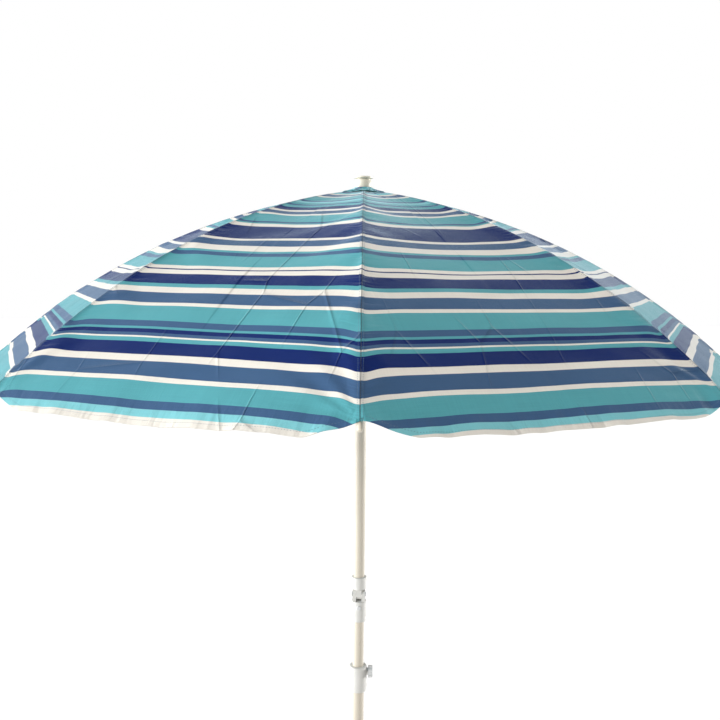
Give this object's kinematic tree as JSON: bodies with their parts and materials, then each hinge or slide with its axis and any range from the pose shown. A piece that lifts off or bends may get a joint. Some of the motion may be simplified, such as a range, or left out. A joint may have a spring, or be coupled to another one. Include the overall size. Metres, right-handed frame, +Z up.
{
  "type": "beach umbrella",
  "caption": "Striped beach umbrella that folds on a sliding runner, with a tilting upper pole, a height clamp and a spike to push into sand.",
  "frame": {"origin": "on the pole's axis at the lower end of the lower pole, with the spike below it", "axes": "+Z up the pole, rib 1 along -Y, the tilt pin along X"},
  "size_m": [1.6262, 1.6262, 2.171],
  "materials": {
    "canopy_cloth": "striped woven polyester, satin",
    "cap_plastic": "moulded, satin gloss",
    "hub_plastic": "moulded nylon, satin",
    "tip_plastic": "moulded, matt",
    "rib_rod": "pultruded glass fibre rod, satin",
    "stretcher_steel": "powder coat, satin",
    "pole_steel": "powder coat, satin",
    "pin_steel": "drawn wire",
    "screw_plastic": "moulded, satin",
    "spike_plastic": "moulded, matt"
  },
  "bodies": {
    "base": {"lower_pole": "pole_steel", "ground_spike": "spike_plastic", "clamp_collar": "hub_plastic"},
    "clamp_screw": {"clamp_screw": "screw_plastic"},
    "mast": {"middle_pole": "pole_steel", "tilt_base": "hub_plastic", "tilt_pin": "pin_steel"},
    "tilt_button": {"tilt_button": "screw_plastic"},
    "head": {"upper_pole": "pole_steel", "tilt_head": "hub_plastic", "crown": "hub_plastic", "crown_pins": "pin_steel", "top_cap": "cap_plastic", "top_patch": "canopy_cloth"},
    "rib_1": {"rib_1": "rib_rod", "rib_tip_1": "tip_plastic", "rib_bracket_1": "hub_plastic", "canopy_panel_1": "canopy_cloth"},
    "stretcher_1": {"stretcher_1": "stretcher_steel"},
    "rib_2": {"rib_2": "rib_rod", "rib_tip_2": "tip_plastic", "rib_bracket_2": "hub_plastic", "canopy_panel_2": "canopy_cloth"},
    "stretcher_2": {"stretcher_2": "stretcher_steel"},
    "rib_3": {"rib_3": "rib_rod", "rib_tip_3": "tip_plastic", "rib_bracket_3": "hub_plastic", "canopy_panel_3": "canopy_cloth"},
    "stretcher_3": {"stretcher_3": "stretcher_steel"},
    "rib_4": {"rib_4": "rib_rod", "rib_tip_4": "tip_plastic", "rib_bracket_4": "hub_plastic", "canopy_panel_4": "canopy_cloth"},
    "stretcher_4": {"stretcher_4": "stretcher_steel"},
    "rib_5": {"rib_5": "rib_rod", "rib_tip_5": "tip_plastic", "rib_bracket_5": "hub_plastic", "canopy_panel_5": "canopy_cloth"},
    "stretcher_5": {"stretcher_5": "stretcher_steel"},
    "rib_6": {"rib_6": "rib_rod", "rib_tip_6": "tip_plastic", "rib_bracket_6": "hub_plastic", "canopy_panel_6": "canopy_cloth"},
    "stretcher_6": {"stretcher_6": "stretcher_steel"},
    "rib_7": {"rib_7": "rib_rod", "rib_tip_7": "tip_plastic", "rib_bracket_7": "hub_plastic", "canopy_panel_7": "canopy_cloth"},
    "stretcher_7": {"stretcher_7": "stretcher_steel"},
    "rib_8": {"rib_8": "rib_rod", "rib_tip_8": "tip_plastic", "rib_bracket_8": "hub_plastic", "canopy_panel_8": "canopy_cloth"},
    "stretcher_8": {"stretcher_8": "stretcher_steel"},
    "runner": {"runner": "hub_plastic", "runner_pins": "pin_steel"},
    "runner_screw": {"runner_screw": "screw_plastic"}
  },
  "joints": [
    {"name": "height_slide", "type": "slide", "parent": "base", "child": "mast", "axis": [0, 0, 1], "range_m": [-0.1, 0.1]},
    {"name": "clamp_screw_turn", "type": "hinge", "parent": "base", "child": "clamp_screw", "pos_m": [0, 0, 0.895], "axis": [1, 0, 0], "continuous": true},
    {"name": "tilt_button_press", "type": "slide", "parent": "mast", "child": "tilt_button", "axis": [0, 1, 0], "range_m": [0, 0.003], "stiffness_N_per_m": 300, "springref_m": -0.001},
    {"name": "tilt", "type": "hinge", "parent": "mast", "child": "head", "pos_m": [0, 0, 1.08], "axis": [1, 0, 0], "range_deg": [0, 40]},
    {"name": "canopy_fold", "type": "hinge", "parent": "head", "child": "rib_1", "pos_m": [0, -0.024, 1.98059], "axis": [1, 0, 0], "range_deg": [0, 63.5], "deforming": ["canopy_panel_1"]},
    {"name": "stretcher_1_fold", "type": "hinge", "parent": "rib_1", "child": "stretcher_1", "pos_m": [0, -0.40308, 1.86716], "axis": [1, 0, 0], "range_deg": [-127, 0]},
    {"name": "rib_2_fold", "type": "hinge", "parent": "head", "child": "rib_2", "pos_m": [0.01697, -0.01697, 1.98059], "axis": [0.7071, 0.7071, 0], "range_deg": [0, 63.5], "deforming": ["canopy_panel_2"]},
    {"name": "stretcher_2_fold", "type": "hinge", "parent": "rib_2", "child": "stretcher_2", "pos_m": [0.28502, -0.28502, 1.86716], "axis": [0.7071, 0.7071, 0], "range_deg": [-127, 0]},
    {"name": "rib_3_fold", "type": "hinge", "parent": "head", "child": "rib_3", "pos_m": [0.024, 0, 1.98059], "axis": [0, 1, 0], "range_deg": [0, 63.5], "deforming": ["canopy_panel_3"]},
    {"name": "stretcher_3_fold", "type": "hinge", "parent": "rib_3", "child": "stretcher_3", "pos_m": [0.40308, 0, 1.86716], "axis": [0, 1, 0], "range_deg": [-127, 0]},
    {"name": "rib_4_fold", "type": "hinge", "parent": "head", "child": "rib_4", "pos_m": [0.01697, 0.01697, 1.98059], "axis": [-0.7071, 0.7071, 0], "range_deg": [0, 63.5], "deforming": ["canopy_panel_4"]},
    {"name": "stretcher_4_fold", "type": "hinge", "parent": "rib_4", "child": "stretcher_4", "pos_m": [0.28502, 0.28502, 1.86716], "axis": [-0.7071, 0.7071, 0], "range_deg": [-127, 0]},
    {"name": "rib_5_fold", "type": "hinge", "parent": "head", "child": "rib_5", "pos_m": [0, 0.024, 1.98059], "axis": [-1, 0, 0], "range_deg": [0, 63.5], "deforming": ["canopy_panel_5"]},
    {"name": "stretcher_5_fold", "type": "hinge", "parent": "rib_5", "child": "stretcher_5", "pos_m": [0, 0.40308, 1.86716], "axis": [-1, 0, 0], "range_deg": [-127, 0]},
    {"name": "rib_6_fold", "type": "hinge", "parent": "head", "child": "rib_6", "pos_m": [-0.01697, 0.01697, 1.98059], "axis": [-0.7071, -0.7071, 0], "range_deg": [0, 63.5], "deforming": ["canopy_panel_6"]},
    {"name": "stretcher_6_fold", "type": "hinge", "parent": "rib_6", "child": "stretcher_6", "pos_m": [-0.28502, 0.28502, 1.86716], "axis": [-0.7071, -0.7071, 0], "range_deg": [-127, 0]},
    {"name": "rib_7_fold", "type": "hinge", "parent": "head", "child": "rib_7", "pos_m": [-0.024, 0, 1.98059], "axis": [0, -1, 0], "range_deg": [0, 63.5], "deforming": ["canopy_panel_7"]},
    {"name": "stretcher_7_fold", "type": "hinge", "parent": "rib_7", "child": "stretcher_7", "pos_m": [-0.40308, 0, 1.86716], "axis": [0, -1, 0], "range_deg": [-127, 0]},
    {"name": "rib_8_fold", "type": "hinge", "parent": "head", "child": "rib_8", "pos_m": [-0.01697, -0.01697, 1.98059], "axis": [0.7071, -0.7071, 0], "range_deg": [0, 63.5], "deforming": ["canopy_panel_8"]},
    {"name": "stretcher_8_fold", "type": "hinge", "parent": "rib_8", "child": "stretcher_8", "pos_m": [-0.28502, -0.28502, 1.86716], "axis": [0.7071, -0.7071, 0], "range_deg": [-127, 0]},
    {"name": "runner_travel", "type": "hinge", "parent": "stretcher_1", "child": "runner", "pos_m": [0, -0.024, 1.75373], "axis": [1, 0, 0], "range_deg": [0, 63.5]},
    {"name": "runner_screw_turn", "type": "hinge", "parent": "runner", "child": "runner_screw", "pos_m": [0, 0, 1.73373], "axis": [1, 0, 0], "continuous": true}
  ],
  "couplings": [
    {"joint": "stretcher_1_fold", "follows": "canopy_fold", "ratio": -2},
    {"joint": "rib_2_fold", "follows": "canopy_fold", "ratio": 1},
    {"joint": "stretcher_2_fold", "follows": "canopy_fold", "ratio": -2},
    {"joint": "rib_3_fold", "follows": "canopy_fold", "ratio": 1},
    {"joint": "stretcher_3_fold", "follows": "canopy_fold", "ratio": -2},
    {"joint": "rib_4_fold", "follows": "canopy_fold", "ratio": 1},
    {"joint": "stretcher_4_fold", "follows": "canopy_fold", "ratio": -2},
    {"joint": "rib_5_fold", "follows": "canopy_fold", "ratio": 1},
    {"joint": "stretcher_5_fold", "follows": "canopy_fold", "ratio": -2},
    {"joint": "rib_6_fold", "follows": "canopy_fold", "ratio": 1},
    {"joint": "stretcher_6_fold", "follows": "canopy_fold", "ratio": -2},
    {"joint": "rib_7_fold", "follows": "canopy_fold", "ratio": 1},
    {"joint": "stretcher_7_fold", "follows": "canopy_fold", "ratio": -2},
    {"joint": "rib_8_fold", "follows": "canopy_fold", "ratio": 1},
    {"joint": "stretcher_8_fold", "follows": "canopy_fold", "ratio": -2},
    {"joint": "runner_travel", "follows": "canopy_fold", "ratio": 1}
  ]
}
